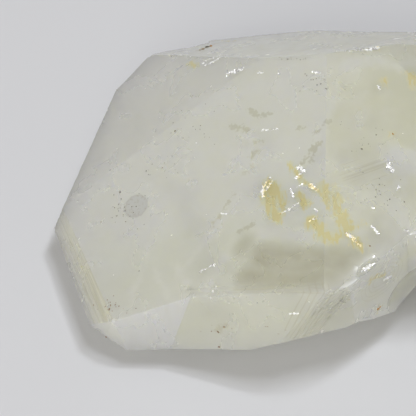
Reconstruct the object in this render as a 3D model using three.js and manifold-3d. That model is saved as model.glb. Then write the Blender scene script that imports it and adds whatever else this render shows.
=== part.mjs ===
import * as THREE from 'three';
import { mergeVertices } from 'three/addons/utils/BufferGeometryUtils.js';
import Module from 'manifold-3d';

const wasm = await Module();
wasm.setup();

// A single quartz crystal, grown as one piece, lying on its underside.
// Millimetres. X runs from the tip to the broken base, Y runs to the back, Z is up, and the
// stone rests on z = 0.

// Each growth face is flat. It is given by the bearing that it looks towards, in degrees from +X
// towards +Y, by its rise above the horizon, and by its distance from a point in the heart.
const heart = new THREE.Vector3(5, 3, 16);
const broadTipFace = growthFace(-164, 67, 4.1);
const backTipFace = growthFace(161.5, 58, 9.2);
const stripedTipFace = growthFace(-160.5, 42, 14.8);
const whiteTipFace = growthFace(-92, 18.5, 17.1);
const frontTipFace = growthFace(-110.5, 22.5, 17.8);
const backShoulderFace = growthFace(103.5, 49.5, 20.1);
const broadSideFace = growthFace(-93, 82.5, 9.8);
const backSideFace = growthFace(99.5, 49.5, 21);
const frontSideFace = growthFace(-74.5, 2, 25.2);

// The crystal ends at a rough break across its length, near this face.
const breakFace = growthFace(4, 6, 52);

// Below its widest outline the stone slopes in to the flat patch that it rests on. These are the
// corners of that patch, in x and y.
const restCorners = [
  [-14, 5], [-7, -8], [12, -12.5], [30, -7.5], [42, 9], [34, 24], [12, 27], [-6, 21],
].map(([x, y]) => new THREE.Vector3(x, y, 0));

// Growth lines: shallow grooves that run parallel to an edge of their face.
const tipLines = { count: 5, first: 0.7, pitch: 0.75, width: 0.3, depth: 0.05 };
const sideLines = { count: 7, first: 1.4, pitch: 0.58, width: 0.24, depth: 0.05 };
const rimLines = { count: 2, first: 0.7, pitch: 0.7, width: 0.26, depth: 0.04 };
// A groove is this much longer than its edge.
const lineOverrun = 2;

// The front corner by the base is broken away down to these two faces.
const brokenCornerFace = growthFace(-47.5, 5.5, 27.5);
const brokenSideFace = growthFace(-84, 4, 15.8);

// Shell-shaped breaks. Each is the part of an egg-shaped hollow that bites into the stone, given
// by its middle, its three half-sizes and its turn about Z in degrees.
const cornerBreaks = [
  { middle: [30.4, -25, 30], halfSizes: [14, 12.8, 12.5], turn: 42 },
  { middle: [40.5, -18.5, 11], halfSizes: [13, 13, 10], turn: 30 },
  { middle: [26.8, -22.4, 8.5], halfSizes: [6.6, 7, 6.5], turn: 42 },
  { middle: [48, -18, 24], halfSizes: [12, 12, 9], turn: 5 },
];
const shoulderBreaks = [
  { middle: [45, 26, 36], halfSizes: [22, 20, 10.5], turn: 0 },
  { middle: [36.5, 19, 32], halfSizes: [5.5, 7, 4.4], turn: 35 },
];
const baseBreaks = [
  { middle: [79, 14, 24], halfSizes: [26, 17, 13], turn: 0 },
  { middle: [77, -6, 17], halfSizes: [24, 14, 11], turn: -8 },
  { middle: [75, 29, 13], halfSizes: [24, 13, 12], turn: 12 },
  { middle: [73, 7, 3], halfSizes: [25, 18, 10], turn: 0 },
];
const undersideBreaks = [
  { middle: [11, -22.8, 0.5], halfSizes: [12, 9, 5.5], turn: 4 },
  { middle: [26, 37.5, 4], halfSizes: [14, 10, 8], turn: -4 },
  { middle: [-17, 25, 1], halfSizes: [9, 12, 6], turn: -30 },
];

// Small chips along the edges, from half a millimetre to five millimetres long.
const chips = [
  { middle: [27.3, 24.6, 29.4], halfSizes: [1.9, 0.9, 0.9], turn: 5 },
  { middle: [23.4, 23.6, 29.2], halfSizes: [1.1, 0.6, 0.7], turn: 0 },
  { middle: [-10.3, 37.4, 11.4], halfSizes: [1.1, 0.9, 1.2], turn: 40 },
  { middle: [-0.6, 40.9, 10.4], halfSizes: [1.3, 0.8, 0.9], turn: 25 },
  { middle: [-15.4, -16.8, 10.3], halfSizes: [1, 0.9, 0.8], turn: 20 },
  { middle: [-17.8, -16.2, 6], halfSizes: [1.2, 0.8, 1], turn: -35 },
  { middle: [-25.7, 3.6, 6.2], halfSizes: [0.6, 0.8, 0.7], turn: 0 },
  { middle: [-2.6, -15.6, 15.6], halfSizes: [0.9, 0.6, 0.6], turn: 10 },
  { middle: [7.2, -21.9, 9.3], halfSizes: [1.4, 0.7, 0.9], turn: 0 },
  { middle: [24.6, -15.0, 23.6], halfSizes: [2.3, 0.9, 0.9], turn: 41 },
  { middle: [19.3, 10.4, 27.6], halfSizes: [0.7, 1.5, 0.5], turn: 4 },
  { middle: [18.7, -6.2, 25.3], halfSizes: [0.6, 1.1, 0.45], turn: 0 },
  { middle: [10.2, 41.6, 12], halfSizes: [1.5, 0.8, 0.8], turn: 0 },
];

function growthFace(bearing, rise, distance) {
  const across = THREE.MathUtils.degToRad(bearing);
  const above = THREE.MathUtils.degToRad(rise);
  const normal = new THREE.Vector3(
    Math.cos(across) * Math.cos(above),
    Math.sin(across) * Math.cos(above),
    Math.sin(above),
  );
  const touch = heart.clone().addScaledVector(normal, distance);
  return new THREE.Plane().setFromNormalAndCoplanarPoint(normal, touch);
}

// The point where three faces meet.
function corner(a, b, c) {
  const bc = b.normal.clone().cross(c.normal);
  const ca = c.normal.clone().cross(a.normal);
  const ab = a.normal.clone().cross(b.normal);
  return bc.multiplyScalar(-a.constant)
    .addScaledVector(ca, -b.constant)
    .addScaledVector(ab, -c.constant)
    .divideScalar(a.normal.dot(b.normal.clone().cross(c.normal)));
}

// The point of the edge between two faces that has this x.
function edgePoint(a, b, x) {
  return corner(a, b, new THREE.Plane(new THREE.Vector3(1, 0, 0), -x));
}

// The point of the edge between two faces at this height.
function levelPoint(a, b, z) {
  return corner(a, b, new THREE.Plane(new THREE.Vector3(0, 0, 1), -z));
}

// The point of a face above or below this x and y.
function facePoint(face, x, y) {
  const z = -(face.normal.x * x + face.normal.y * y + face.constant) / face.normal.z;
  return new THREE.Vector3(x, y, z);
}

// The one of these points that is nearest to a place.
function nearest(points, place) {
  return points.reduce((a, b) => (place.distanceTo(b) < place.distanceTo(a) ? b : a));
}

// Splits a flat or nearly flat loop of corners into triangles that look away from the heart.
function triangles(loop) {
  const middle = new THREE.Vector3();
  const normal = new THREE.Vector3();
  loop.forEach((here, i) => {
    const next = loop[(i + 1) % loop.length];
    middle.addScaledVector(here, 1 / loop.length);
    normal.add(here.clone().cross(next));
  });
  normal.normalize();
  const outward = normal.dot(middle.clone().sub(heart)) > 0 ? loop : [...loop].reverse();
  if (outward !== loop) {
    normal.negate();
  }
  const along = outward[1].clone().sub(outward[0]).projectOnPlane(normal).normalize();
  const up = normal.clone().cross(along);
  const flat = outward.map((p) => new THREE.Vector2(p.dot(along), p.dot(up)));
  return THREE.ShapeUtils.triangulateShape(flat, []).flatMap((ids) => ids.map((i) => outward[i]));
}

// Points that lie closer than this are one point.
const samePoint = 1e-4;

function solidOf(geometry) {
  const bare = geometry.clone();
  bare.deleteAttribute('normal');
  bare.deleteAttribute('uv');
  const joined = mergeVertices(bare, samePoint);
  return new wasm.Manifold(new wasm.Mesh({
    numProp: 3,
    vertProperties: new Float32Array(joined.attributes.position.array),
    triVerts: new Uint32Array(joined.index.array),
  }));
}

function geometryOf(solid) {
  const mesh = solid.getMesh();
  const geometry = new THREE.BufferGeometry();
  geometry.setAttribute('position', new THREE.BufferAttribute(mesh.vertProperties, 3));
  geometry.setIndex(new THREE.BufferAttribute(mesh.triVerts, 1));
  return geometry;
}

// The corners where growth faces meet.
const tipCorner = corner(broadTipFace, backTipFace, stripedTipFace);
const stripedCorner = corner(broadTipFace, stripedTipFace, whiteTipFace);
const whiteCorner = corner(broadTipFace, whiteTipFace, frontTipFace);
const frontCorner = corner(broadTipFace, frontTipFace, broadSideFace);
const sideCorner = corner(frontTipFace, frontSideFace, broadSideFace);
const crestCorner = corner(broadTipFace, backTipFace, backShoulderFace);
const shoulderCorner = corner(broadTipFace, broadSideFace, backShoulderFace);
const backCorner = corner(broadSideFace, backShoulderFace, backSideFace);
const baseBack = corner(broadSideFace, backSideFace, breakFace);
const baseFront = corner(broadSideFace, frontSideFace, breakFace);

// The widest outline, from the tip along the front to the base and back along the rear.
const tip = facePoint(stripedTipFace, -25.5, 3.8);
const stripedEnd = facePoint(stripedTipFace, -18.9, -14.8);
const nick = new THREE.Vector3(-16.4, -16.5, 5.4);
const whiteStart = facePoint(whiteTipFace, -13, -18.3);
const whiteEnd = edgePoint(whiteTipFace, frontTipFace, -6);
const frontMiddle = facePoint(frontTipFace, 6.6, -21.2);
const frontEnd = edgePoint(frontTipFace, frontSideFace, 11);
const sideMiddle = levelPoint(frontSideFace, new THREE.Plane(new THREE.Vector3(1, 0, 0), -30), 12);
const sideBase = levelPoint(frontSideFace, breakFace, 14);
const rearBase = new THREE.Vector3(56.5, 36.5, 15);
const rearMiddle = new THREE.Vector3(35.3, 36.4, 18);
const rearEdge = edgePoint(broadSideFace, backSideFace, 30);
const rearShoulder = edgePoint(backShoulderFace, backSideFace, 17.8);
const rearOutline = [[9.9, 40.9], [0.7, 41.7], [-2.1, 39], [-6.2, 38.3]]
  .map(([x, y]) => facePoint(backShoulderFace, x, y));
const crestEnd = edgePoint(backTipFace, backShoulderFace, -10);
const backTip = facePoint(backTipFace, -15.8, 31);

// The whole crystal before any wear: its growth faces above the widest outline, the sloping
// underside below it, and the flat patch that it rests on.
function crystal() {
  const outline = [
    tip, stripedEnd, nick, whiteStart, whiteEnd, frontMiddle, frontEnd, sideMiddle, sideBase,
    rearBase, rearMiddle, rearShoulder, ...rearOutline, crestEnd, backTip, tipCorner,
  ];
  const floor = outline.map((p) => nearest(restCorners, p));

  const loops = [
    [tipCorner, stripedCorner, whiteCorner, frontCorner, shoulderCorner, crestCorner],
    [tipCorner, crestCorner, crestEnd, backTip],
    [tipCorner, tip, stripedEnd, stripedCorner],
    [stripedCorner, stripedEnd, nick, whiteStart],
    [stripedCorner, whiteStart, whiteEnd, whiteCorner],
    [whiteCorner, whiteEnd, frontMiddle, frontEnd, sideCorner, frontCorner],
    [sideCorner, frontEnd, sideMiddle, sideBase, baseFront],
    [crestCorner, shoulderCorner, backCorner, rearShoulder, ...rearOutline, crestEnd],
    [backCorner, rearEdge, rearMiddle, rearShoulder],
    [rearEdge, baseBack, rearBase, rearMiddle],
    [frontCorner, sideCorner, baseFront, baseBack, rearEdge, backCorner, shoulderCorner],
    [baseFront, sideBase, rearBase, baseBack],
    restCorners,
  ];
  outline.forEach((here, i) => {
    const j = (i + 1) % outline.length;
    loops.push([here, outline[j], floor[j]]);
    if (floor[i] !== floor[j]) {
      loops.push([here, floor[j], floor[i]]);
    }
  });

  return solidOf(new THREE.BufferGeometry().setFromPoints(loops.flatMap(triangles)));
}

// Grooves in a face, parallel to its edge from start to end and stepping away from that edge.
function grooves(face, start, end, towards, lines) {
  const along = end.clone().sub(start);
  const length = along.length() + lineOverrun;
  along.normalize();
  const across = face.normal.clone().cross(along);
  if (across.dot(towards.clone().sub(start)) < 0) {
    across.negate();
  }
  const frame = new THREE.Matrix4().makeBasis(along, across, along.clone().cross(across));
  const middle = start.clone().add(end).multiplyScalar(0.5);
  return Array.from({ length: lines.count }, (_, i) => {
    const place = middle.clone().addScaledVector(across, lines.first + i * lines.pitch);
    const bar = new THREE.BoxGeometry(length, lines.width, 2 * lines.depth);
    return solidOf(bar.applyMatrix4(frame).translate(place.x, place.y, place.z));
  });
}

// How often the sides of the balls are cut up, for smooth and for flat-sided hollows.
const smoothBall = 5;
const roughBall = 1;

// An egg-shaped hollow, cut out of a ball of radius 1.
function hollow(ball, { middle, halfSizes, turn }) {
  const egg = ball.scale(...halfSizes).rotateZ(THREE.MathUtils.degToRad(turn));
  return solidOf(egg.translate(...middle));
}

// The smoothly curved hollow of a large break.
function shell(item) {
  return hollow(new THREE.IcosahedronGeometry(1, smoothBall), item);
}

// The hollow of a small chip, with few flat sides.
function chip(item) {
  return hollow(new THREE.IcosahedronGeometry(1, roughBall), item);
}

// Everything beyond a face.
function beyond(face) {
  const reach = 80;
  const slab = new THREE.BoxGeometry(2 * reach, 2 * reach, reach).translate(0, 0, reach / 2);
  const turn = new THREE.Quaternion().setFromUnitVectors(new THREE.Vector3(0, 0, 1), face.normal);
  const touch = face.projectPoint(heart, new THREE.Vector3());
  return solidOf(slab.applyQuaternion(turn).translate(touch.x, touch.y, touch.z));
}

function worn(stone) {
  const tools = [
    beyond(brokenCornerFace).intersect(beyond(brokenSideFace)),
    ...grooves(stripedTipFace, tipCorner, stripedCorner, tip, tipLines),
    ...grooves(frontSideFace, frontEnd, sideCorner, baseFront, sideLines),
    ...grooves(broadTipFace, whiteCorner, frontCorner, heart, rimLines),
    ...[...cornerBreaks, ...shoulderBreaks, ...baseBreaks, ...undersideBreaks].map(shell),
    ...chips.map(chip),
  ];
  return tools.reduce((left, tool) => left.subtract(tool), stone);
}

// The origin is on the surface that the stone lies on, under the middle of its length and width.
function centred(geometry) {
  geometry.computeBoundingBox();
  const { min, max } = geometry.boundingBox;
  return geometry.translate(-(min.x + max.x) / 2, -(min.y + max.y) / 2, -min.z);
}

// Cloudy quartz of a pale greenish grey.
const quartz = new THREE.MeshStandardMaterial({ color: 0xc9cabf, roughness: 0.25, metalness: 0 });
const quartzPoint = new THREE.Mesh(centred(geometryOf(worn(crystal()))), quartz);
quartzPoint.name = 'quartz_point';

const model = new THREE.Group();
model.add(quartzPoint);

export default model;
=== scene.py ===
import math

import bmesh
import bpy
import numpy as np
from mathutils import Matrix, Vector
from mathutils.bvhtree import BVHTree


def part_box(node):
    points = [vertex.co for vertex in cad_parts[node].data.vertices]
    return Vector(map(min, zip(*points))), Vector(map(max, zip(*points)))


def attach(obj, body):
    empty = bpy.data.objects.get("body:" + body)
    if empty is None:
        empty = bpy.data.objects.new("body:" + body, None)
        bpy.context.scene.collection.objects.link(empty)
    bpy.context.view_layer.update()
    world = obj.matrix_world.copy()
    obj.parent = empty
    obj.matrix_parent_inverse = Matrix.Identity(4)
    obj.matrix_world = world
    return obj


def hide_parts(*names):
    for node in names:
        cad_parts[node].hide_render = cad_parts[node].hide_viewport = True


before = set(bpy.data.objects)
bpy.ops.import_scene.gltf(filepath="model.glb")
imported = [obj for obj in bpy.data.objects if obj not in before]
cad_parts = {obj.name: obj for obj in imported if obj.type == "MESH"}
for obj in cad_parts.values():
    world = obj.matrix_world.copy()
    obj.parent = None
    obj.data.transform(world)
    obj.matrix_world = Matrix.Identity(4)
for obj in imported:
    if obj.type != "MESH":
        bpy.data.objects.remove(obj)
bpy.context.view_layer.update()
scene = bpy.context.scene

# The view. The stone lies on a plain pale surface and is looked down on from the front. Its tip
# points to the left, and its broken base runs past the right edge of the picture.
MM = 0.001
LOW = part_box("quartz_point")[0]
PICTURE = 416
SENSOR_MM = 36
MM_PER_PIXEL = 0.16
LOOK_DOWN = math.radians(55)
DISTANCE = 350 * MM
# The camera looks at a point this far behind the tip, behind the front and above the floor.
TARGET = Vector((LOW.x + 25.4 * MM, LOW.y + 21.65 * MM, 18 * MM))

camera_data = bpy.data.cameras.new("camera")
camera_data.sensor_width = SENSOR_MM
camera_data.lens = SENSOR_MM * DISTANCE / (PICTURE * MM_PER_PIXEL * MM)
camera = bpy.data.objects.new("camera", camera_data)
towards_camera = Vector((0, -math.cos(LOOK_DOWN), math.sin(LOOK_DOWN)))
camera.location = TARGET + DISTANCE * towards_camera
camera.rotation_euler = (-towards_camera).to_track_quat("-Z", "Y").to_euler()
scene.collection.objects.link(camera)
scene.camera = camera
scene.view_settings.view_transform = "Standard"

# The surface that the stone lies on is plain, pale and matt. It is one large level square, and
# its finish is the first that is made from shader nodes.
FLOOR_HALF = 0.6
FLOOR_COLOUR = (0.70, 0.702, 0.735, 1)
TURN = 2 * math.pi


class Wire:
    """A shader socket that takes part in Python sums: each operator adds a Math node."""

    def __init__(self, tree, socket):
        self.tree = tree
        self.socket = socket

    def math(self, operation, *values):
        node = self.tree.nodes.new("ShaderNodeMath")
        node.operation = operation
        for socket, value in zip(node.inputs, values):
            plug(self.tree, socket, value)
        return Wire(self.tree, node.outputs[0])

    def __add__(self, other):
        return self.math("ADD", self, other)

    def __sub__(self, other):
        return self.math("SUBTRACT", self, other)

    def __rsub__(self, other):
        return self.math("SUBTRACT", other, self)

    def __mul__(self, other):
        return self.math("MULTIPLY", self, other)

    def __truediv__(self, other):
        return self.math("DIVIDE", self, other)

    __radd__ = __add__
    __rmul__ = __mul__

    def kept(self):
        """The value held between 0 and 1."""
        node = self.tree.nodes.new("ShaderNodeClamp")
        plug(self.tree, node.inputs[0], self)
        return Wire(self.tree, node.outputs[0])

    def wave(self):
        """A sine wave of the value, in turns, that runs from 0 to 1."""
        return self.math("SINE", self * TURN) * 0.5 + 0.5

    def step(self, start, end):
        """0 at start and 1 at end, with a soft slope between them. Start may be the larger."""
        node = self.tree.nodes.new("ShaderNodeMapRange")
        node.interpolation_type = "SMOOTHSTEP"
        for name, value in (("Value", self), ("From Min", start), ("From Max", end)):
            plug(self.tree, node.inputs[name], value)
        return Wire(self.tree, node.outputs[0])


def plug(tree, socket, value):
    """Links a wire to a socket, or sets the socket to a value."""
    if isinstance(value, Wire):
        tree.links.new(value.socket, socket)
    else:
        socket.default_value = value


class Finish:
    """A material with a Principled shader, and the nodes that feed it."""

    def __init__(self, name):
        self.material = bpy.data.materials.new(name)
        self.material.use_nodes = True
        self.tree = self.material.node_tree
        self.shader = self.tree.nodes["Principled BSDF"]
        self.output = self.tree.nodes["Material Output"]
        place = self.node("ShaderNodeTexCoord", output="Object")
        # Patterns are laid out in millimetres.
        self.place = self.node("ShaderNodeMapping", {}, {"Vector": place, "Scale": (1 / MM,) * 3})

    def node(self, kind, settings={}, values={}, output=0):
        """Adds a node, sets it up, sets or links its sockets, and gives one of its outputs."""
        node = self.tree.nodes.new(kind)
        for name, value in settings.items():
            setattr(node, name, value)
        for name, value in values.items():
            plug(self.tree, node.inputs[name], value)
        return Wire(self.tree, node.outputs[output])

    def set(self, **values):
        for name, value in values.items():
            plug(self.tree, self.shader.inputs[name.replace("_", " ")], value)

    def noise(self, size, detail=3, roughness=0.5, distortion=0.0, place=None):
        """Cloudy noise whose lumps are about this many millimetres across."""
        values = {"Vector": place or self.place, "Scale": 1 / size, "Detail": detail,
                  "Roughness": roughness, "Distortion": distortion}
        return self.node("ShaderNodeTexNoise", {}, values)

    def turned(self, angle, scale):
        """The place turned about the upright by an angle, then scaled along the turned axes."""
        return self.node("ShaderNodeMapping", {}, {
            "Vector": self.place, "Rotation": (0, 0, angle), "Scale": scale})

    def field(self, name):
        """One of the mesh's own measures."""
        return self.node("ShaderNodeAttribute", {"attribute_name": name}, {}, "Fac")

    def along(self, direction):
        """How many millimetres a point lies along a direction."""
        values = {0: self.place, 1: tuple(direction)}
        return self.node("ShaderNodeVectorMath", {"operation": "DOT_PRODUCT"}, values, "Value")

    def from_point(self, point):
        """How many millimetres a point lies from another one."""
        values = {0: self.place, 1: tuple(point)}
        return self.node("ShaderNodeVectorMath", {"operation": "DISTANCE"}, values, "Value")

    def mix(self, share, first, second):
        """The first colour moved towards the second one by a share."""
        node = self.tree.nodes.new("ShaderNodeMix")
        node.data_type = "RGBA"
        plug(self.tree, node.inputs[0], share)
        for socket, value in ((node.inputs[6], first), (node.inputs[7], second)):
            plug(self.tree, socket, value if isinstance(value, Wire) else (*value, 1))
        return Wire(self.tree, node.outputs[2])


floor_mesh = bpy.data.meshes.new("floor")
floor_mesh.from_pydata(
    [(x, y, 0) for x, y in ((-FLOOR_HALF, -FLOOR_HALF), (FLOOR_HALF, -FLOOR_HALF),
                            (FLOOR_HALF, FLOOR_HALF), (-FLOOR_HALF, FLOOR_HALF))],
    [], [(0, 1, 2, 3)])
floor = bpy.data.objects.new("floor", floor_mesh)
scene.collection.objects.link(floor)
pale = Finish("pale_floor")
pale.set(Base_Color=FLOOR_COLOUR, Roughness=0.95)
floor_mesh.materials.append(pale.material)

# The light is a soft studio. Two small cool lamps high on the right throw the stone's stepped
# shadow to the front left, a large warm one fills the front, and a weak one fills the left.
COOL, WARM, WARMER = (0.93, 0.96, 1), (0.985, 0.98, 0.93), (1, 0.975, 0.93)
KEY_DISTANCE = 0.76
SKY_COLOUR = (1, 0.965, 0.89, 1)
SKY_STRENGTH = 0.32

world = bpy.data.worlds.new("studio")
scene.world = world
world.use_nodes = True
world.node_tree.nodes["Background"].inputs["Color"].default_value = SKY_COLOUR
world.node_tree.nodes["Background"].inputs["Strength"].default_value = SKY_STRENGTH


def softbox(name, offset, size, power, colour):
    """A square area light that looks at the stone, placed by its offset from the camera's target."""
    data = bpy.data.lights.new(name, "AREA")
    data.size = size
    data.energy = power
    data.color = colour
    light = bpy.data.objects.new(name, data)
    light.location = TARGET + offset
    light.rotation_euler = (TARGET - light.location).to_track_quat("-Z", "Y").to_euler()
    scene.collection.objects.link(light)


softbox("key_back", KEY_DISTANCE * Vector((0.3, 0.16, 1)), size=0.1, power=1.45, colour=COOL)
softbox("key_soft", KEY_DISTANCE * Vector((0.18, -0.03, 1)), size=0.16, power=1.25, colour=COOL)
softbox("front", Vector((-0.36, -0.6, 0.32)), size=0.7, power=3.15, colour=WARM)
softbox("left", Vector((-0.7, -0.1, 0.25)), size=0.4, power=0.4, colour=WARMER)

# The stone is one quartz crystal that grew in one piece. It is milky and a little yellow-green,
# and ends in a flat-faced point. Its faces are slightly wavy, and its edges are a little worn.
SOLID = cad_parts["quartz_point"]
LEVEL_ANGLE = math.radians(0.3)
SAME_POINT = 0.002
# The solid's level faces are cut into triangles whose sides go down to these lengths in turn.
CUT_LENGTHS = (24, 12, 6, 3, 1.8, 1.5)


def arrays(mesh):
    """The points and the triangles of a mesh as arrays, in millimetres."""
    points = np.empty(len(mesh.vertices) * 3)
    mesh.vertices.foreach_get("co", points)
    corners = np.empty(len(mesh.loops), int)
    mesh.loops.foreach_get("vertex_index", corners)
    return points.reshape(-1, 3) / MM, corners.reshape(-1, 3)


def solid_faces():
    """The solid's triangles, joined where they are level, then cut into even ones: the long edges
    are halved again and again, and each time level neighbours turn the edge between them to
    widen their angles."""
    made = bmesh.new()
    made.from_mesh(SOLID.data)
    bmesh.ops.remove_doubles(made, verts=made.verts, dist=SAME_POINT * MM)
    bmesh.ops.dissolve_limit(made, angle_limit=LEVEL_ANGLE, verts=made.verts, edges=made.edges)
    bmesh.ops.triangulate(made, faces=made.faces)
    for longest in CUT_LENGTHS:
        long = [edge for edge in made.edges if edge.calc_length() > longest * MM]
        bmesh.ops.subdivide_edges(made, edges=long, cuts=1)
        bmesh.ops.triangulate(made, faces=made.faces)
        level = [edge for edge in made.edges if edge.calc_face_angle(1) < LEVEL_ANGLE]
        bmesh.ops.beautify_fill(made, faces=made.faces, edges=level, method="ANGLE")
    mesh = bpy.data.meshes.new("solid_faces")
    made.to_mesh(mesh)
    made.free()
    return arrays(mesh)


flat_points, flat_faces = solid_faces()
flat_tree = BVHTree.FromPolygons(flat_points.tolist(), flat_faces.tolist())
picture_right = Vector((1, 0, 0))
picture_up = towards_camera.cross(picture_right)


def on_stone(px, py):
    """The place and the normal where the line of sight through a place in the picture meets it."""
    middle = PICTURE / 2
    sight = (-towards_camera * (DISTANCE / MM) + picture_right * ((px - middle) * MM_PER_PIXEL)
             - picture_up * ((py - middle) * MM_PER_PIXEL))
    place, normal = flat_tree.ray_cast(camera.location / MM, sight)[:2]
    return np.array(place), np.array(normal)


def reach(points, strokes):
    """How far in millimetres each point lies outside the nearest stroke, less than 0 inside it.
    A stroke is its half width, and then the places in the picture that it runs through."""
    nearest = np.full(len(points), 1e3)
    for half_width, *places in strokes:
        line = np.array([on_stone(*place)[0] for place in places])
        for start, end in zip(line, line[1:] if len(line) > 1 else line):
            run = end - start
            share = np.clip((points - start) @ run / max(run @ run, 1e-9), 0, 1)
            away = np.linalg.norm(points - start - share[:, None] * run, axis=1)
            nearest = np.minimum(nearest, away - half_width)
    return nearest


# Yellow iron stains in the cracks, mostly in the middle and along the right.
STAINS = [
    (1.3, (270, 186), (271, 205), (276, 216)), (1.0, (276, 190), (281, 205)),
    (0.35, (290, 165), (297, 174), (303, 182)), (0.45, (304, 182), (312, 187), (320, 191)),
    (1.0, (322, 188), (332, 202), (342, 218), (348, 230)), (0.7, (334, 186), (340, 200)),
    (1.1, (312, 222), (320, 227)), (0.9, (320, 234), (330, 238), (338, 236)),
    (0.8, (345, 234), (356, 243), (362, 247)), (0.8, (300, 196), (306, 205)),
    (0.5, (382, 81), (387, 83)), (0.8, (410, 74), (414, 84)), (0.5, (190, 63), (196, 66)),
    (0.5, (370, 280), (384, 274)), (0.3, (378, 309)), (0.2, (391, 134), (395, 133)),
    (0.3, (222, 41), (234, 41)), (0.5, (353, 228), (361, 224)), (0.3, (378, 47)),
    (0.3, (303, 180), (320, 192), (333, 212), (344, 236))]
# Places where a crack comes close to the surface and flashes.
FLARES = [
    (0.16, (201, 65), (208, 60), (215, 57)), (0.2, (205, 66), (214, 62), (221, 57)),
    (0.16, (213, 59), (222, 55)), (0.3, (228, 74), (236, 71), (242, 69)), (0.45, (236, 72), (240, 70)),
    (0.14, (258, 73), (263, 73)), (0.12, (278, 74), (280, 74)), (0.13, (313, 72), (320, 73)),
    (0.45, (371, 49), (378, 48)), (0.12, (329, 52), (345, 51), (369, 50)),
    (0.22, (262, 197), (264, 186), (270, 178)), (0.25, (266, 190), (272, 181)),
    (0.22, (262, 190), (263, 196)), (0.35, (298, 167), (304, 171)), (0.3, (302, 172), (297, 178)),
    (0.12, (280, 214), (290, 209), (303, 199)), (0.14, (297, 187), (303, 184)),
    (0.25, (291, 190), (293, 197)), (0.28, (310, 185), (317, 190)), (0.2, (311, 220), (316, 218)),
    (0.12, (314, 208), (317, 212)), (0.35, (347, 234), (354, 239)), (0.25, (354, 240), (361, 246)),
    (0.22, (372, 226), (378, 234)), (0.14, (405, 230), (408, 231)), (0.12, (370, 208), (374, 208)),
    (0.3, (362, 271), (368, 267), (374, 264)), (0.25, (385, 279), (391, 276)),
    (0.16, (199, 272), (207, 268), (215, 264)), (0.14, (210, 298), (216, 287)),
    (0.14, (196, 143)), (0.13, (229, 303)), (0.14, (221, 213), (227, 214)), (0.14, (372, 78)),
    (0.2, (378, 86), (380, 90)), (0.16, (397, 190), (399, 187)), (0.35, (388, 164), (392, 171)),
    (0.12, (290, 314), (299, 313)), (0.14, (261, 131), (268, 130)), (0.1, (272, 130), (278, 129))]
# Thin grey-brown smudges in shallow hollows.
SMUDGES = [
    (0.35, (251, 110), (257, 116)), (0.2, (257, 116), (271, 115)), (0.5, (240, 128), (245, 129)),
    (0.2, (230, 126), (240, 127)), (0.25, (298, 129), (305, 129)), (0.2, (255, 142), (262, 141)),
    (0.3, (253, 155), (260, 151)), (0.2, (244, 174), (254, 166)), (0.3, (303, 163), (314, 147)),
    (0.3, (310, 160), (318, 144)), (0.25, (312, 136), (328, 122)),
    (0.2, (232, 196), (222, 212), (212, 226)), (0.12, (170, 56), (182, 55)),
    (0.35, (218, 330), (226, 326)), (0.4, (240, 232), (255, 222)), (0.3, (198, 50), (205, 47), (212, 45))]
# Whitish veils of fine cracks.
VEILS = [
    (1.0, (206, 292), (218, 266), (236, 242), (252, 232)), (0.8, (190, 262), (206, 238), (228, 212)),
    (0.7, (300, 172), (315, 146), (328, 118), (336, 92)), (0.9, (228, 150), (250, 166), (268, 152)),
    (2.2, (398, 157), (412, 162)), (0.8, (400, 165), (399, 186)), (1.1, (385, 162), (394, 171)),
    (1.4, (262, 232), (292, 236), (322, 240)), (1.2, (346, 66), (372, 58), (398, 66), (412, 62)),
    (0.6, (150, 60), (160, 68)), (0.5, (92, 192), (112, 176), (134, 156)),
    (0.7, (286, 214), (300, 218)), (0.5, (264, 178), (262, 198)), (0.5, (292, 186), (300, 200)),
    (0.5, (203, 63), (238, 69)), (0.5, (186, 284), (176, 262)),
    (0.4, (130, 300), (142, 270), (150, 246)), (0.4, (166, 296), (156, 268))]
# The clear zone in the lower middle, which looks darker than the cloudy stone about it: it is painted
# darker, as painted shade seen through the clearer quartz.
DARKS = [(2.4, (264, 258), (300, 262), (338, 262)), (1.8, (248, 276), (290, 280), (330, 275)),
         (1.0, (345, 258), (356, 253)), (0.8, (246, 240), (240, 248))]
RIM_LINES = [(0.7, (236, 291), (322, 290))]
FAN_LINES = [(2.6, (352, 172), (376, 168))]
RIPPLES = [(0.1, (378, 282), (386, 277))]
# The solid's grooves lie within these broad strokes, where the edges keep their sharpness.
SIDE_LINED = [(3.2, (318, 296), (300, 330))]
LINED = SIDE_LINED + [(3.4, (66, 238), (78, 270), (96, 315)), (1.4, (200, 292), (322, 290))]
FINEST, MARKED, UPPER, UNDER = 0.28, 0.5, 0.9, 2.0
FLARE_MARGIN, MARK_MARGIN, UPPER_FROM = 0.2, 0.6, 4


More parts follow.
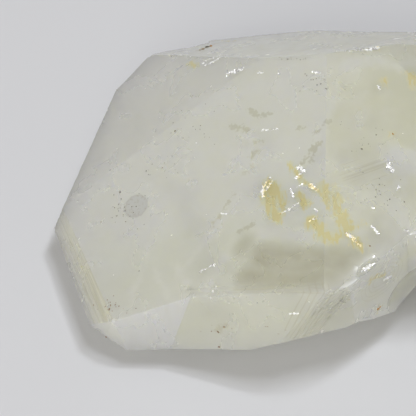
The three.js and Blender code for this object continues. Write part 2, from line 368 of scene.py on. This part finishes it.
def cut_long(points, faces, limit):
    """One round of cutting. A triangle with a side longer than limit(middles) has its longest
    side cut at its middle, and each triangle is cut in two, three or four at its sides' new points."""
    sides = np.sort(np.stack([faces, np.roll(faces, -1, 1)], 2).reshape(-1, 2), 1)
    edges, side_edge = np.unique(sides, axis=0, return_inverse=True)
    side_edge = side_edge.reshape(-1, 3)
    ends = points[edges]
    middles = ends.mean(1)
    lengths = np.linalg.norm(ends[:, 0] - ends[:, 1], axis=1)
    too_long = lengths > FINEST
    too_long[too_long] = lengths[too_long] > limit(middles[too_long])
    longest = np.take_along_axis(side_edge, np.argmax(lengths[side_edge], 1)[:, None], 1)[:, 0]
    cut = np.zeros(len(edges), bool)
    cut[longest[too_long[side_edge].any(1)]] = True
    added = np.full(len(edges), -1)
    added[cut] = len(points) + np.arange(cut.sum())
    middle = added[side_edge]
    count = (middle >= 0).sum(1)
    # Triangles with one cut side turn it to the front, and those with two turn the whole one last.
    turn = np.where(count == 1, np.argmax(middle >= 0, 1), np.where(count == 2, np.argmin(middle, 1) + 1, 0))
    order = (np.arange(3) + turn[:, None]) % 3
    corner, middle = np.take_along_axis(faces, order, 1), np.take_along_axis(middle, order, 1)
    a, b, c = corner.T
    ab, bc, ca = middle.T
    pieces = [faces[count == 0]]
    for cuts, triangles in ((1, ((a, ab, c), (ab, b, c))), (2, ((ab, b, bc), (a, ab, bc), (a, bc, c))),
                            (3, ((a, ab, ca), (ab, b, bc), (ca, bc, c), (ab, bc, ca)))):
        pieces += [np.stack(triangle, 1)[count == cuts] for triangle in triangles]
    return np.vstack([points, middles[cut]]), np.vstack(pieces), cut.any()


def longest_edge(places):
    """Fine where marks lie, less fine on the upper side, and coarse beneath."""
    near = reach(places, FLARES)
    marked = np.minimum(near, reach(places, SMUDGES + STAINS)) < MARK_MARGIN
    broad = np.where(places[:, 2] > UPPER_FROM, UPPER, UNDER)
    return np.where(near < FLARE_MARGIN, FINEST, np.where(marked, MARKED, broad))


points, faces, more = flat_points, flat_faces, True
while more:
    points, faces, more = cut_long(points, faces, longest_edge)


def face_normals(points, faces):
    """The unit cross product of two sides of each triangle."""
    a, b, c = points[faces].transpose(1, 0, 2)
    normal = np.cross(b - a, c - a)
    return normal / np.maximum(np.linalg.norm(normal, axis=1, keepdims=True), 1e-12)


def waves(points, size, seed, count=20):
    """A smooth uneven height between about -1 and 1: the mean of sine waves of seeded random
    directions, whose lengths lie around size, times the root of twice their number."""
    draw = np.random.default_rng(seed)
    ways = draw.normal(size=(count, 3))
    ways /= np.linalg.norm(ways, axis=1, keepdims=True)
    phases = points @ (ways / (size * draw.uniform(0.7, 1.5, (count, 1)))).T
    return np.sin(TURN * (phases + draw.uniform(0, 1, count))).mean(1) * math.sqrt(2 * count) / 2


normals = face_normals(points, faces)
centres = points[faces].mean(1)
# Points where the surface turns are on its edges, which are worn down by up to a tenth of a
# millimetre. The faces between them rise and fall by half as much.
FLAT_ENOUGH = 0.985
outward = np.zeros_like(points)
for corner in range(3):
    np.add.at(outward, faces[:, corner], normals)
around = np.maximum(np.bincount(faces.ravel(), minlength=len(points)), 1)
evenness = np.linalg.norm(outward, axis=1) / around
outward /= np.maximum(np.linalg.norm(outward, axis=1, keepdims=True), 1e-9)
worn_edge = np.clip((FLAT_ENOUGH - evenness) * 12, 0, 1)
lift = 0.05 * waves(points, 11, 1) + 0.012 * waves(points, 2.6, 2)
worn_edge *= np.clip(reach(points, LINED), 0, 0.5) * 2
lift -= worn_edge * (0.05 + 0.05 * np.clip(waves(points, 1.7, 3), -1, 1))
shape = points + outward * lift[:, None]
shape[:, 2] = np.maximum(shape[:, 2], 0)


def surface(name, points, faces, fields={}, face_fields={}, flat=False):
    """A mesh object from arrays in millimetres, with measures for its points and its faces."""
    mesh = bpy.data.meshes.new(name)
    mesh.from_pydata((points * MM).tolist(), [], faces.tolist(), shade_flat=flat)
    for field, values in fields.items():
        mesh.attributes.new(field, "FLOAT", "POINT").data.foreach_set("value", values)
    for field, values in face_fields.items():
        mesh.attributes.new(field, "FLOAT", "CORNER").data.foreach_set("value", np.repeat(values, 3))
    piece = bpy.data.objects.new(name, mesh)
    scene.collection.objects.link(piece)
    return piece


# A place in the picture on each face that has a tint of its own, which on the back, white tip, front, side
# and right faces is also painted light and shade.
FACES = {"back": (100, 140), "striped": (88, 270), "white_tip": (150, 330), "front": (230, 320),
         "side": (312, 315), "right": (360, 130), "tip": (180, 180)}
STROKES = {"stain": STAINS, "smudge": SMUDGES, "veil": VEILS, "dark": DARKS, "ripple": RIPPLES,
           "rim": RIM_LINES, "fan": FAN_LINES, "side_lines": SIDE_LINED}
FACE_DEPTH = 0.35
SHARP_ANGLE = math.radians(14)


def level_with(px, py):
    """1 on the triangles of the flat face that the picture shows at this place, else 0."""
    place, normal = on_stone(px, py)
    level = np.abs((centres - place) @ normal) < FACE_DEPTH
    return ((normals @ normal > FLAT_ENOUGH) & level).astype(float)


stone = surface("quartz_crystal", shape, faces,
                {field: reach(points, strokes) for field, strokes in STROKES.items()},
                {face: level_with(*place) for face, place in FACES.items()})
stone.data.set_sharp_from_angle(angle=SHARP_ANGLE)

# The stone's own colour runs between two creamy whites, and its marks tint it. Some faces and the clear zone
# are also painted lighter or darker as painted light and shade.
MILK_DARK, MILK_LIGHT = (0.90, 0.892, 0.765), (0.965, 0.967, 0.895)
STRAW, BRIGHT_GRAIN = (0.90, 0.885, 0.74), (1, 0.99, 0.94)
BASE_SIDE_TINT_AND_SHADE, STRIPED, TIP = (0.83, 0.825, 0.68), (0.97, 0.925, 0.73), (0.925, 0.95, 0.885)
FRONT_PAINTED_SHADE, BACK_PAINTED_LIGHT, WHITE_TIP_PAINTED_LIGHT = (0.79, 0.795, 0.695), (1, 1, 0.90), (0.985, 1, 0.91)
LOW_TIP_PAINTED_SHADE, SIDE_PAINTED_SHADE, VEIL = (0.83, 0.83, 0.735), (0.79, 0.785, 0.675), (0.985, 1, 0.90)
CLEAR_ZONE_SHADE, SMUDGE = (0.61, 0.59, 0.475), (0.70, 0.67, 0.55)
STAIN, IRON = (0.965, 0.895, 0.62), (0.99, 0.80, 0.38)
GROWTH_LINE, RING = (0.68, 0.64, 0.50), (0.70, 0.66, 0.52)
DULL, DULL_RIM = (0.75, 0.75, 0.75), (0.58, 0.56, 0.50)

quartz = Finish("cloudy_quartz")
broad = quartz.noise(6, 3, 0.55, 0.4)
fine = quartz.noise(1.5, 2, 0.5)
ragged = quartz.noise(1.4, 2, 0.5) - 0.5
grain = quartz.noise(0.45, 1, 0.5)
soft = quartz.noise(4, 2, 0.5) - 0.5

milk = quartz.mix(((broad - 0.5) * 2.2 + 0.5).kept(), MILK_DARK, MILK_LIGHT)
milk = quartz.mix(fine.step(0.5, 0.75) * 0.4, milk, STRAW)
milk = quartz.mix(grain.step(0.66, 0.76) * 0.2, milk, BRIGHT_GRAIN)

# Each face takes a tint. The back and the white tip are painted lighter, the white tip in streaks of painted
# sheen, and the front, side and right faces are painted darker: painted light and shade.
# The half towards the base is yellower and also painted darker, and the tip's face has painted shade that
# grows darker towards its lower edge.
LOW_FROM, LOW_TO = (170, 215), (170, 275)
base_half = (quartz.along((1, 0.45, 0)) + soft * 14).step(8, 20)
# Painted shade: the base half and the right face are darkened as well as yellowed.
milk = quartz.mix(base_half * 0.55 + quartz.field("right") * 0.3, milk, BASE_SIDE_TINT_AND_SHADE)
milk = quartz.mix(quartz.field("striped") * 0.85, milk, STRIPED)
milk = quartz.mix(quartz.field("tip") * (0.6 + soft), milk, TIP)
# Painted shade on the front face and painted light on the back face.
milk = quartz.mix(quartz.field("front") * 0.7, milk, FRONT_PAINTED_SHADE)
milk = quartz.mix(quartz.field("back") * 0.7, milk, BACK_PAINTED_LIGHT)
# Painted light on the white tip, in streaks of painted sheen.
sheen = quartz.noise(1, 1, 0.5, place=quartz.turned(0.5, (0.9, 0.12, 0.12)))
milk = quartz.mix(quartz.field("white_tip") * (0.55 + 0.45 * sheen.step(0.3, 0.6)), milk, WHITE_TIP_PAINTED_LIGHT)
# Painted shade: the tip's face is darkened towards its lower edge.
low_tip_shade = (quartz.along((0, 1, 0)) + soft * 6).step(on_stone(*LOW_FROM)[0][1], on_stone(*LOW_TO)[0][1])
milk = quartz.mix(low_tip_shade * quartz.field("tip") * 0.7, milk, LOW_TIP_PAINTED_SHADE)

# The veils, the clear zone, the smudges and the stains have ragged borders.
veil = (quartz.field("veil") + ragged * 2 + soft * 3).step(0.7, -1.2)
milk = quartz.mix(veil * 0.7, milk, VEIL)
# Painted shade: the clear zone is painted darker.
dark = (quartz.field("dark") + soft * 3 + ragged * 0.6).step(1.8, -1.6)
milk = quartz.mix(dark * (0.75 + soft), milk, CLEAR_ZONE_SHADE)
smudge = (quartz.field("smudge") + ragged * 2.4 + (grain - 0.5) * 1.6).step(0.25, -0.3)
milk = quartz.mix(smudge * 0.65, milk, SMUDGE)
streaks = quartz.noise(1, 2, 0.55, place=quartz.turned(0.9, (1.5, 0.45, 1)))
stain = quartz.field("stain") + ragged * 2 + (streaks - 0.5) * 2 + (grain - 0.5) * 1.2
halo = stain.step(0.6, -0.4)
milk = quartz.mix(halo * 0.8, milk, STAIN)
iron = (quartz.field("stain") + (streaks - 0.5) * 6).step(-0.1, -0.7)
milk = quartz.mix(halo * iron * 0.6, milk, IRON)

# The growth lines follow the way in which the crystal grew. Each set runs between two places in
# the picture.
TIP_RUN, SIDE_RUN = ((68, 218), (108, 312)), ((303, 330), (326, 296))
RIM_RUN, FAN_RUN = ((230, 292), (320, 290)), ((350, 176), (384, 164))


def line_ways(start, end):
    """Two unit directions: from one place in the picture to the other, and across that line."""
    first, normal = on_stone(*start)
    run = on_stone(*end)[0] - first
    run /= np.linalg.norm(run)
    return run, np.cross(normal, run)


def growth_lines(run, pitch):
    """Uneven streaks about a pitch apart: noise that is drawn out along the run."""
    lengthwise, across = line_ways(*run)
    flat = quartz.node("ShaderNodeCombineXYZ", {}, {
        "X": quartz.along(lengthwise) * 0.03, "Y": quartz.along(across) / pitch})
    return quartz.noise(1, 1, 0.5, place=flat)


SIDE_PITCH = 0.72
tip_lines = growth_lines(TIP_RUN, 0.7) * quartz.field("striped")
side_across = quartz.along(line_ways(*SIDE_RUN)[1]) / SIDE_PITCH
side_lines = (side_across + soft * 0.5).wave() * quartz.field("side_lines").step(0.4, -1)
rim_lines = growth_lines(RIM_RUN, 0.45) * quartz.field("rim").step(0.6, -0.3)
fan_lines = growth_lines(FAN_RUN, 0.36) * quartz.field("fan").step(1.2, -1)
lines = (tip_lines.step(0.47, 0.58) * 0.6 + side_lines.step(0.75, 1) * 0.55
         + rim_lines.step(0.5, 0.6) * 0.5 + fan_lines.step(0.5, 0.6) * 0.35)
# Painted shade on the side face.
milk = quartz.mix(quartz.field("side") * 0.6, milk, SIDE_PAINTED_SHADE)
milk = quartz.mix(lines, milk, GROWTH_LINE)

# Rings run round the place where the front right corner broke away.
rings = (quartz.field("ripple") * 1.2 + ragged * 0.6).wave().step(0.6, 1)
rings *= quartz.field("ripple").step(4.5, 3.2) * quartz.field("ripple").step(0.2, 0.5)
milk = quartz.mix(rings * 0.3, milk, RING)

# A round dull mark lies near the tip.
DULL_MARK = (136, 206)
from_mark = quartz.from_point(on_stone(*DULL_MARK)[0]) + ragged * 0.5 + (grain - 0.5) * 0.4
dull = from_mark.step(2.2, 1.95)
rim = from_mark.step(1.5, 2.0) * dull
milk = quartz.mix(dull * 0.85, milk, DULL)
milk = quartz.mix(rim * 0.35 + dull * grain.step(0.55, 0.65) * 0.4, milk, DULL_RIM)

quartz.set(Base_Color=milk, Roughness=0.25 + (broad - 0.5) * 0.3 + dull * 0.3, IOR=1.544,
           Transmission_Weight=0.42, Subsurface_Weight=1.0, Subsurface_Scale=0.014,
           Subsurface_Radius=(1, 1, 0.85), Coat_Weight=0.6 - dull * 0.5, Coat_Roughness=0.05)
height = quartz.noise(0.8, 1, 0.5) * 0.2 + quartz.noise(3, 1, 0.5) * 0.8
quartz.set(Normal=quartz.node("ShaderNodeBump", {}, {
    "Strength": 0.6, "Distance": 0.05 * MM, "Height": height}))
absorption = quartz.tree.nodes.new("ShaderNodeVolumeAbsorption")
absorption.inputs["Color"].default_value = (0.9, 0.91, 0.78, 1)
absorption.inputs["Density"].default_value = 25
quartz.tree.links.new(absorption.outputs[0], quartz.output.inputs["Volume"])
stone.data.materials.append(quartz.material)
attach(stone, "root")
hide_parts("quartz_point")

# Cracks that come close to the surface throw back the light. They show as thin silvery scales
# with many small facets on the stone itself, and iron has stained some of them yellow.
SCALE_RISE, SCALE_UNEVENNESS, SCALE_THICKNESS = 0.06, 0.07, 0.05
SILVER, GOLD = (1, 1, 1), (1, 0.88, 0.55)

border = 0.05 + 0.13 * waves(centres, 0.6, 5) + 0.1 * waves(centres, 0.3, 6)
used, corners = np.unique(faces[reach(centres, FLARES) + border < 0], return_inverse=True)
# Each point lies above the surface by the rise, give or take a share of the unevenness.
lift = SCALE_RISE + SCALE_UNEVENNESS * np.random.default_rng(11).uniform(-1, 1, len(used))
scales = surface("silvery_scales", shape[used] + outward[used] * lift[:, None],
                 corners.reshape(-1, 3), {"yellow": reach(points[used], STAINS)}, flat=True)
crust = scales.modifiers.new("thickness", "SOLIDIFY")
crust.thickness = SCALE_THICKNESS * MM
crust.offset = -1
silver = Finish("silvery_crack")
patch = silver.noise(0.5, 2, 0.5)
yellow = silver.field("yellow").step(0.2, -0.4) * silver.noise(0.9, 3, 0.6).step(0.35, 0.5)
silver.set(Base_Color=silver.mix(yellow, SILVER, GOLD), Metallic=patch.step(0.45, 0.55) * 0.9,
           Roughness=0.25)
scales.data.materials.append(silver.material)
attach(scales, "root")

# Grains of dark dirt, of brown earth and of orange rust sit in small pits of the surface, some
# alone and most in sprinkles. Each is a flattened, uneven ball of a few dozen faces.
DARK, BROWN, RUSTY = 0, 1, 2
# A place in the picture, the grain's radius in millimetres and its kind.
SPECKS = [
    (175, 131, 0.16, DARK), (171, 133, 0.09, DARK), (178, 129, 0.08, DARK), (120, 192, 0.17, DARK),
    (101, 222, 0.14, BROWN), (139, 271, 0.12, DARK), (362, 149, 0.15, DARK), (361, 203, 0.15, DARK),
    (378, 309, 0.3, RUSTY), (380, 307, 0.2, RUSTY), (92, 329, 0.2, RUSTY), (106, 337, 0.16, BROWN),
    (218, 332, 0.2, BROWN), (224, 327, 0.14, BROWN), (393, 134, 0.2, RUSTY), (207, 47, 0.4, DARK),
    (203, 49, 0.3, BROWN), (211, 46, 0.3, RUSTY), (200, 50, 0.2, BROWN), (117, 90, 0.14, DARK),
    (172, 56, 0.14, DARK), (219, 347, 0.2, BROWN), (254, 71, 0.08, DARK), (317, 85, 0.12, DARK),
    (325, 80, 0.12, DARK), (300, 91, 0.12, DARK), (355, 52, 0.1, DARK), (370, 246, 0.14, BROWN),
    (196, 262, 0.07, DARK), (348, 235, 0.08, DARK)]
# A middle, how far the grains spread about it in pixels, how many there are, and their kind.
SPRINKLES = [
    (112, 306, 12, 6, 26, BROWN), (294, 59, 14, 1.5, 16, DARK), (120, 210, 11, 12, 26, DARK),
    (355, 138, 20, 12, 60, DARK), (190, 120, 30, 20, 18, DARK), (320, 80, 14, 14, 12, DARK),
    (165, 165, 20, 12, 14, DARK), (380, 190, 24, 20, 24, DARK), (240, 330, 60, 8, 10, BROWN)]
SPREAD, SMALLEST, SIZE_RANGE = 0.6, 0.06, 0.07
FLATTENED = 0.45
DIRT, EARTH, RUST, DUSTY = (0.10, 0.09, 0.07), (0.22, 0.12, 0.06), (0.50, 0.24, 0.06), (0.4, 0.34, 0.25)

draw = np.random.default_rng(3)
for px, py, wide, high, count, kind in SPRINKLES:
    SPECKS += [(px + wide * dx, py + high * dy, SMALLEST + SIZE_RANGE * size, kind)
               for dx, dy, size in zip(draw.normal(size=count) * SPREAD,
                                       draw.normal(size=count) * SPREAD, draw.uniform(0, 1, count))]
ball = bmesh.new()
bmesh.ops.create_icosphere(ball, subdivisions=2, radius=1)
ball_points = np.array([point.co for point in ball.verts])
ball_faces = np.array([[point.index for point in face.verts] for face in ball.faces])
ball.free()
spots = [(*on_stone(px, py), size, kind) for px, py, size, kind in SPECKS]
# A place beside the stone meets nothing, and is left out.
spots = [spot for spot in spots if spot[0].shape]
count = len(spots)
middles, ups = np.array([spot[0] for spot in spots]), np.array([spot[1] for spot in spots])
sizes = np.array([spot[2] for spot in spots])
kinds = np.array([spot[3] for spot in spots], float)
rights = np.cross(ups, draw.normal(size=(count, 3)))
rights /= np.linalg.norm(rights, axis=1, keepdims=True)
grain_frames = np.stack([rights, np.cross(ups, rights), ups * FLATTENED], 1)
lumps = ball_points * draw.uniform(0.75, 1.25, (count, len(ball_points), 1)) * sizes[:, None, None]
lumps = lumps * np.stack([np.ones(count), draw.uniform(0.5, 1, count), np.ones(count)], 1)[:, None]
grain_points = (middles[:, None] + np.einsum("gpi,gij->gpj", lumps, grain_frames)).reshape(-1, 3)
grain_faces = (ball_faces + len(ball_points) * np.arange(count)[:, None, None]).reshape(-1, 3)
grains = surface("dirt_grains", grain_points, grain_faces,
                 {"kind": np.repeat(kinds, len(ball_points))})
dirt = Finish("dirt_and_rust")
earth = dirt.mix(dirt.field("kind").step(0.2, BROWN), DIRT, EARTH)
earth = dirt.mix(dirt.field("kind").step(1.2, RUSTY), earth, RUST)
dirt.set(Base_Color=dirt.mix(dirt.noise(0.15, 2, 0.5) * 0.4, earth, DUSTY), Roughness=0.8)
grains.data.materials.append(dirt.material)
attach(grains, "root")
